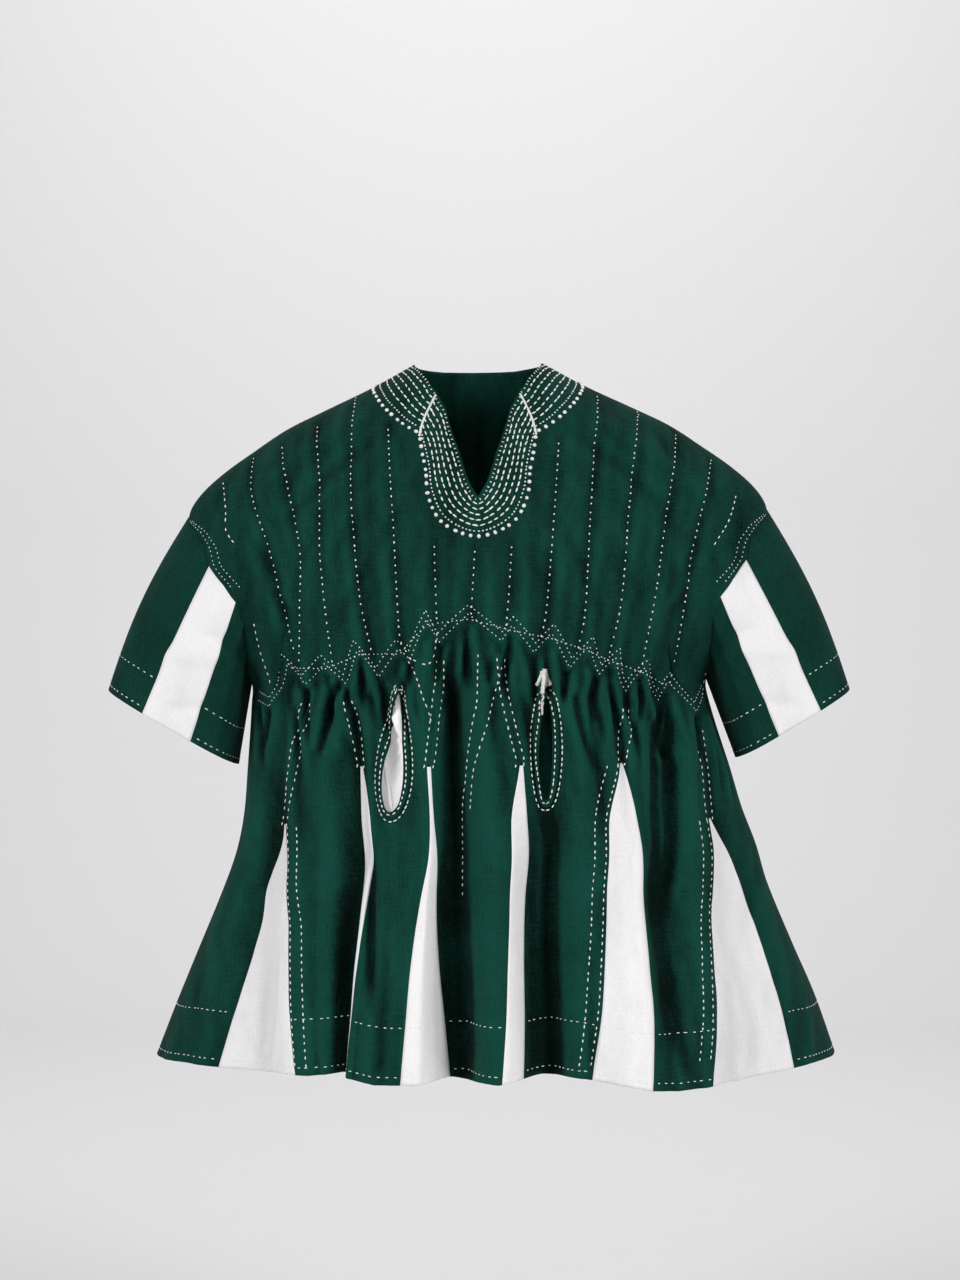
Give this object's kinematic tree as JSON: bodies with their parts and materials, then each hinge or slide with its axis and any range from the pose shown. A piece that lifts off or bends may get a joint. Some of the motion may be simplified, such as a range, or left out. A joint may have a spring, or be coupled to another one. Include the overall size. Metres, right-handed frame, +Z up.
{
  "type": "fugu smock",
  "caption": "Worn-shape hollow cotton smock with a slit neck, wide striped sleeves, a gathered and gored skirt and slit pockets.",
  "frame": {"origin": "midway between the neck ends of the two shoulder seams, at their height", "axes": "+Z up as worn, -Y out of the front, +X to the right of someone who looks at the front"},
  "size_m": [0.77, 0.4859, 0.7217],
  "materials": {
    "green": "dark bottle green plain-weave cotton, matt with a faint sheen",
    "white": "white plain-weave cotton, matt"
  },
  "bodies": {
    "root": {"yoke_front_1": "green", "yoke_front_2": "green", "yoke_front_3": "green", "yoke_front_4": "green", "yoke_back_1": "green", "yoke_back_2": "green", "yoke_back_3": "green", "yoke_back_4": "green", "sleeve_left_top": "green", "sleeve_left_front_white": "white", "sleeve_left_under": "green", "sleeve_left_back_white": "white", "sleeve_right_top": "green", "sleeve_right_front_white": "white", "sleeve_right_under": "green", "sleeve_right_back_white": "white", "skirt_front_green_1": "green", "skirt_front_green_2": "green", "skirt_front_green_3": "green", "skirt_front_green_4": "green", "skirt_front_green_5": "green", "skirt_front_green_6": "green", "skirt_front_green_7": "green", "skirt_back_green_1": "green", "skirt_back_green_2": "green", "skirt_back_green_3": "green", "skirt_back_green_4": "green", "skirt_back_green_5": "green", "skirt_back_green_6": "green", "skirt_back_green_7": "green", "skirt_front_white_1": "white", "skirt_front_white_2": "white", "skirt_front_white_3": "white", "skirt_front_white_4": "white", "skirt_front_white_5": "white", "skirt_front_white_6": "white", "skirt_back_white_1": "white", "skirt_back_white_2": "white", "skirt_back_white_3": "white", "skirt_back_white_4": "white", "skirt_back_white_5": "white", "skirt_back_white_6": "white", "pocket_left_welt": "green", "pocket_right_welt": "green", "pocket_left_bag": "white"}
  },
  "joints": []
}
